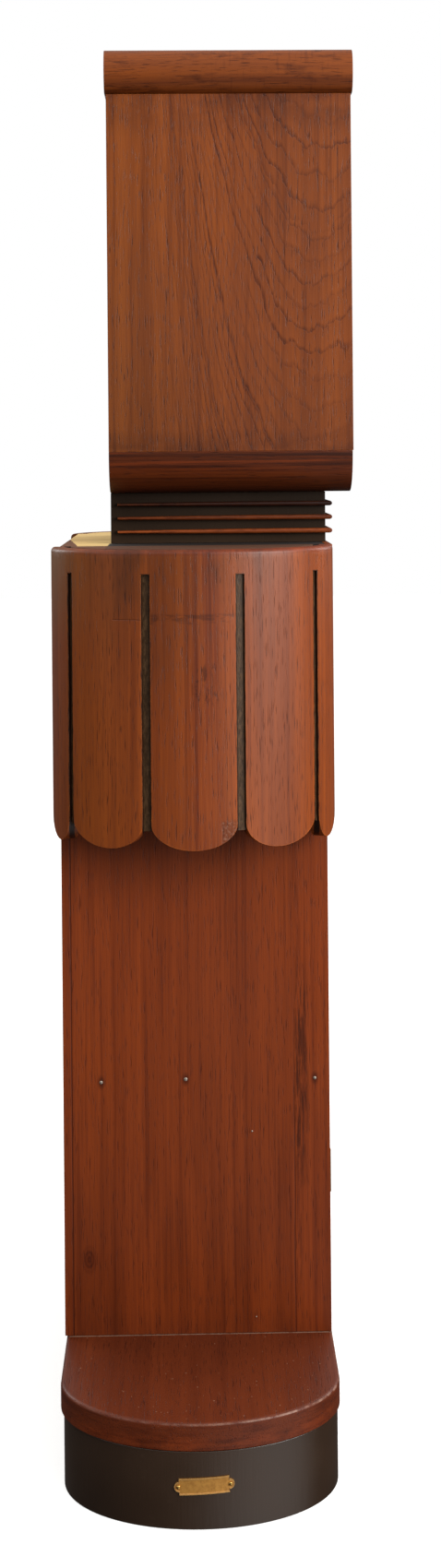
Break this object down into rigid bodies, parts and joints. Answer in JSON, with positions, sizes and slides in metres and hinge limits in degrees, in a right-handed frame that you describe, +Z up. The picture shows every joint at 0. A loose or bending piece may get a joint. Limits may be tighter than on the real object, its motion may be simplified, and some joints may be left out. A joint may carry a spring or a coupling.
{
  "type": "grandfather clock",
  "caption": "Longcase clock: square head on a ribbed dark neck, half-oval drums with scalloped tongues, glazed trunk door, pendulum and weights, oval-ended plinth.",
  "frame": {"origin": "on the floor, under the middle of the trunk", "axes": "+Z up; -Y towards the front, where the dial faces; X across the width"},
  "size_m": [0.84, 0.433, 1.901],
  "materials": {
    "case_wood": "satin varnished, vertical grain",
    "drum_wood": "satin varnished, vertical grain, light wear on the scalloped edges",
    "plinth_wood": "satin varnished, worn at its lower edge",
    "moulding_wood": "dark satin varnish",
    "fin_wood": "satin varnish",
    "black_paint": "satin black stain",
    "bare_wood": "unfinished",
    "brass": "brushed, aged",
    "steel": "brushed",
    "blackened_steel": "blackened",
    "silvered_dial": "silvered, matte",
    "clear_glass": "clear"
  },
  "bodies": {
    "case": {"plinth_base": "black_paint", "plinth_slab": "plinth_wood", "name_plate": "brass", "side_board_left": "case_wood", "side_board_right": "case_wood", "trunk_back": "bare_wood", "trunk_front_frame": "case_wood", "front_fascia": "drum_wood", "trunk_hinge_lower": "brass", "trunk_hinge_upper": "brass", "drum_left": "drum_wood", "drum_right": "drum_wood", "drum_liner_left": "black_paint", "drum_liner_right": "black_paint", "deck": "bare_wood", "neck": "black_paint", "neck_fin_lower": "fin_wood", "neck_fin_middle": "fin_wood", "neck_fin_upper": "fin_wood", "head_floor": "case_wood", "head_front_rail": "case_wood", "shoulder_left": "moulding_wood", "shoulder_right": "moulding_wood", "head_side_left": "case_wood", "head_side_right": "case_wood", "head_back": "bare_wood", "cornice_left": "case_wood", "cornice_right": "case_wood", "head_top": "case_wood", "dial_plate": "silvered_dial", "chapter_ring": "brass", "movement_front_plate": "brass", "movement_back_plate": "brass", "seat_board": "bare_wood", "pendulum_cock": "brass", "weight_line_left": "steel", "weight_line_right": "steel"},
    "trunk_door": {"trunk_door": "case_wood", "trunk_door_glass": "clear_glass", "trunk_door_knob": "brass", "trunk_door_hinge_lower": "brass", "trunk_door_hinge_upper": "brass"},
    "dial_door": {"head_door": "case_wood", "head_door_glass": "clear_glass", "head_door_knob": "brass", "head_pivot_lower": "brass", "head_pivot_upper": "brass"},
    "minute_arbor": {"cannon_pinion": "brass", "minute_hand": "blackened_steel", "hand_nut": "brass"},
    "minute_wheel": {"minute_wheel": "brass"},
    "hour_pipe": {"hour_wheel": "brass", "hour_hand": "blackened_steel"},
    "escape_wheel": {"escape_wheel": "brass"},
    "anchor": {"anchor": "steel"},
    "pendulum": {"pendulum_rod": "steel", "pendulum_bob": "brass", "rating_nut": "brass"},
    "weight_left": {"weight_left": "brass"},
    "weight_right": {"weight_right": "brass"}
  },
  "joints": [
    {"name": "trunk_door_swing", "type": "hinge", "parent": "case", "child": "trunk_door", "pos_m": [-0.13695, -0.1855, 0.65], "axis": [0, 0, -1], "range_deg": [0, 115]},
    {"name": "dial_door_swing", "type": "hinge", "parent": "case", "child": "dial_door", "pos_m": [-0.1555, -0.213, 1.59], "axis": [0, 0, -1], "range_deg": [0, 85]},
    {"name": "minute_hand_turn", "type": "hinge", "parent": "case", "child": "minute_arbor", "pos_m": [0, -0.19, 1.596], "axis": [0, 1, 0], "continuous": true},
    {"name": "minute_wheel_turn", "type": "hinge", "parent": "case", "child": "minute_wheel", "pos_m": [0.045, -0.16, 1.596], "axis": [0, 1, 0], "continuous": true},
    {"name": "hour_hand_turn", "type": "hinge", "parent": "case", "child": "hour_pipe", "pos_m": [0, -0.19, 1.596], "axis": [0, 1, 0], "continuous": true},
    {"name": "escape_wheel_turn", "type": "hinge", "parent": "case", "child": "escape_wheel", "pos_m": [0.03, -0.12, 1.612], "axis": [0, 1, 0], "continuous": true},
    {"name": "pendulum_swing", "type": "hinge", "parent": "case", "child": "pendulum", "pos_m": [0, -0.062, 1.66], "axis": [0, 1, 0], "range_deg": [-3, 3]},
    {"name": "anchor_rock", "type": "hinge", "parent": "case", "child": "anchor", "pos_m": [0, -0.12, 1.66], "axis": [0, 1, 0], "range_deg": [-3, 3]},
    {"name": "weight_left_drop", "type": "slide", "parent": "case", "child": "weight_left", "axis": [0, 0, 1], "range_m": [-0.55, 0.12], "deforming": ["weight_line_left"]},
    {"name": "weight_right_drop", "type": "slide", "parent": "case", "child": "weight_right", "axis": [0, 0, 1], "range_m": [-0.55, 0.12], "deforming": ["weight_line_right"]}
  ],
  "couplings": [
    {"joint": "minute_wheel_turn", "follows": "minute_hand_turn", "ratio": -0.33333},
    {"joint": "hour_hand_turn", "follows": "minute_hand_turn", "ratio": 0.083333},
    {"joint": "anchor_rock", "follows": "pendulum_swing", "ratio": 1}
  ]
}
